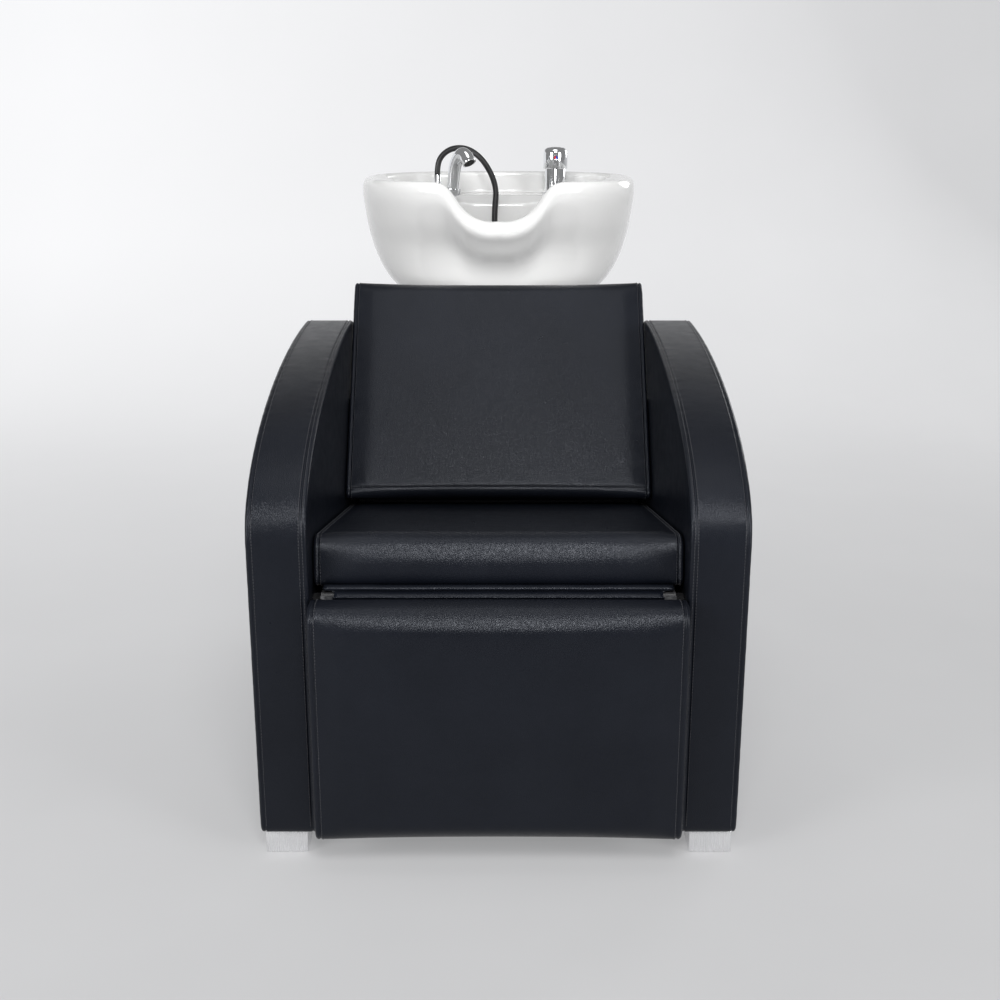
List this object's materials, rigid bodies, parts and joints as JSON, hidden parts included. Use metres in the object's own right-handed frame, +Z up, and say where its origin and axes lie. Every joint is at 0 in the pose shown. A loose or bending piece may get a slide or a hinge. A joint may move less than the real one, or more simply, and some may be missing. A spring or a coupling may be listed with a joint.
{
  "type": "salon_backwash_unit",
  "caption": "Black upholstered salon backwash chair with padded arms and a hinged leg rest, joined to a white tilting ceramic shampoo bowl with lever mixer and hand spray",
  "frame": {"origin": "on the floor, under the middle of the unit's overall length and width", "axes": "+Z up, +Y from the leg rest toward the bowl, +X toward the sitter's left, which is the right of the picture"},
  "size_m": [0.7, 1.3025, 0.991],
  "materials": {
    "black_leather": "fine-grained black upholstery leather, low sheen",
    "timber": "raw plywood and softwood",
    "black_timber": "plywood and softwood stained black",
    "satin_metal": "satin",
    "black_steel": "black powder coat",
    "zinc_steel": "zinc plated",
    "black_rubber": "matte",
    "black_plastic": "fine texture",
    "white_ceramic": "gloss white glaze",
    "polished_chrome": "polished",
    "red_plastic": "gloss, half red and half blue",
    "brass_fittings": "machined",
    "black_hose": "smooth black sleeve",
    "braided_hose": "braided steel sleeve",
    "grey_pvc": "smooth grey"
  },
  "bodies": {
    "chair": {"left_arm_core": "timber", "right_arm_core": "timber", "left_arm_cover": "black_leather", "right_arm_cover": "black_leather", "front_left_foot": "satin_metal", "front_right_foot": "satin_metal", "rear_left_foot": "satin_metal", "rear_right_foot": "satin_metal", "left_chassis_rail": "black_steel", "right_chassis_rail": "black_steel", "front_cross_tube": "black_steel", "rear_cross_tube": "black_steel", "front_rail": "black_timber", "left_seat_bearer": "black_steel", "right_seat_bearer": "black_steel", "seat_board": "black_timber", "seat_cushion": "black_leather", "left_back_bearer": "black_steel", "right_back_bearer": "black_steel", "back_board": "timber", "back_cushion": "black_leather", "outer_back_panel": "black_leather", "left_hinge_fixed_leaf": "black_steel", "right_hinge_fixed_leaf": "black_steel", "hinge_pins": "zinc_steel", "leg_rest_bumpers": "black_rubber", "bridge_flap": "black_leather", "column_shell": "black_steel", "column_base_plate": "black_steel", "column_head": "black_steel", "column_rear_cover": "black_steel", "cover_screws": "zinc_steel", "tilt_pivot_bolts": "zinc_steel", "stop_valves": "brass_fittings", "waste_pipe": "grey_pvc", "hot_supply_hose": "braided_hose", "cold_supply_hose": "braided_hose", "waste_hose": "grey_pvc"},
    "leg_rest": {"leg_rest_board": "black_timber", "leg_rest_cushion": "black_leather", "left_hinge_moving_leaf": "zinc_steel", "right_hinge_moving_leaf": "zinc_steel"},
    "bowl_unit": {"bowl": "white_ceramic", "bowl_carrier": "black_steel", "bowl_pads": "black_rubber", "drain_flange": "polished_chrome", "drain_backnut": "black_plastic", "mixer_body": "polished_chrome", "deck_nuts": "brass_fittings", "handset_holder": "polished_chrome", "hose_outlet": "polished_chrome", "spray_hose": "black_hose", "mixed_water_hose": "braided_hose"},
    "tilt_lock": {"tilt_lock_lever": "black_plastic"},
    "mixer_cartridge": {"mixer_stem": "polished_chrome"},
    "mixer_lever": {"mixer_handle": "polished_chrome", "temperature_mark": "red_plastic"},
    "handset": {"handset_body": "polished_chrome", "spray_face": "black_rubber"},
    "strainer": {"hair_strainer": "polished_chrome"}
  },
  "joints": [
    {"name": "leg_rest_lift", "type": "hinge", "parent": "chair", "child": "leg_rest", "pos_m": [0, -0.565, 0.4], "axis": [-1, 0, 0], "range_deg": [0, 80], "deforming": ["bridge_flap"]},
    {"name": "bowl_tilt", "type": "hinge", "parent": "chair", "child": "bowl_unit", "pos_m": [0, 0.391, 0.64], "axis": [1, 0, 0], "range_deg": [-10, 4], "deforming": ["hot_supply_hose", "cold_supply_hose", "waste_hose"]},
    {"name": "tilt_lock_turn", "type": "hinge", "parent": "chair", "child": "tilt_lock", "pos_m": [0.151, 0.391, 0.64], "axis": [1, 0, 0], "range_deg": [0, 60]},
    {"name": "mixer_turn", "type": "hinge", "parent": "bowl_unit", "child": "mixer_cartridge", "pos_m": [0.12, 0.566, 0.9475], "axis": [0, 0, 1], "range_deg": [-50, 50]},
    {"name": "mixer_lift", "type": "hinge", "parent": "mixer_cartridge", "child": "mixer_lever", "pos_m": [0.12, 0.566, 0.9475], "axis": [1, 0, 0], "range_deg": [0, 15]},
    {"name": "handset_lift", "type": "slide", "parent": "bowl_unit", "child": "handset", "axis": [0.0931, -0.1034, 0.9903], "range_m": [0, 0.12]},
    {"name": "strainer_lift", "type": "slide", "parent": "bowl_unit", "child": "strainer", "axis": [0, 0, 1], "range_m": [0, 0.25]}
  ]
}
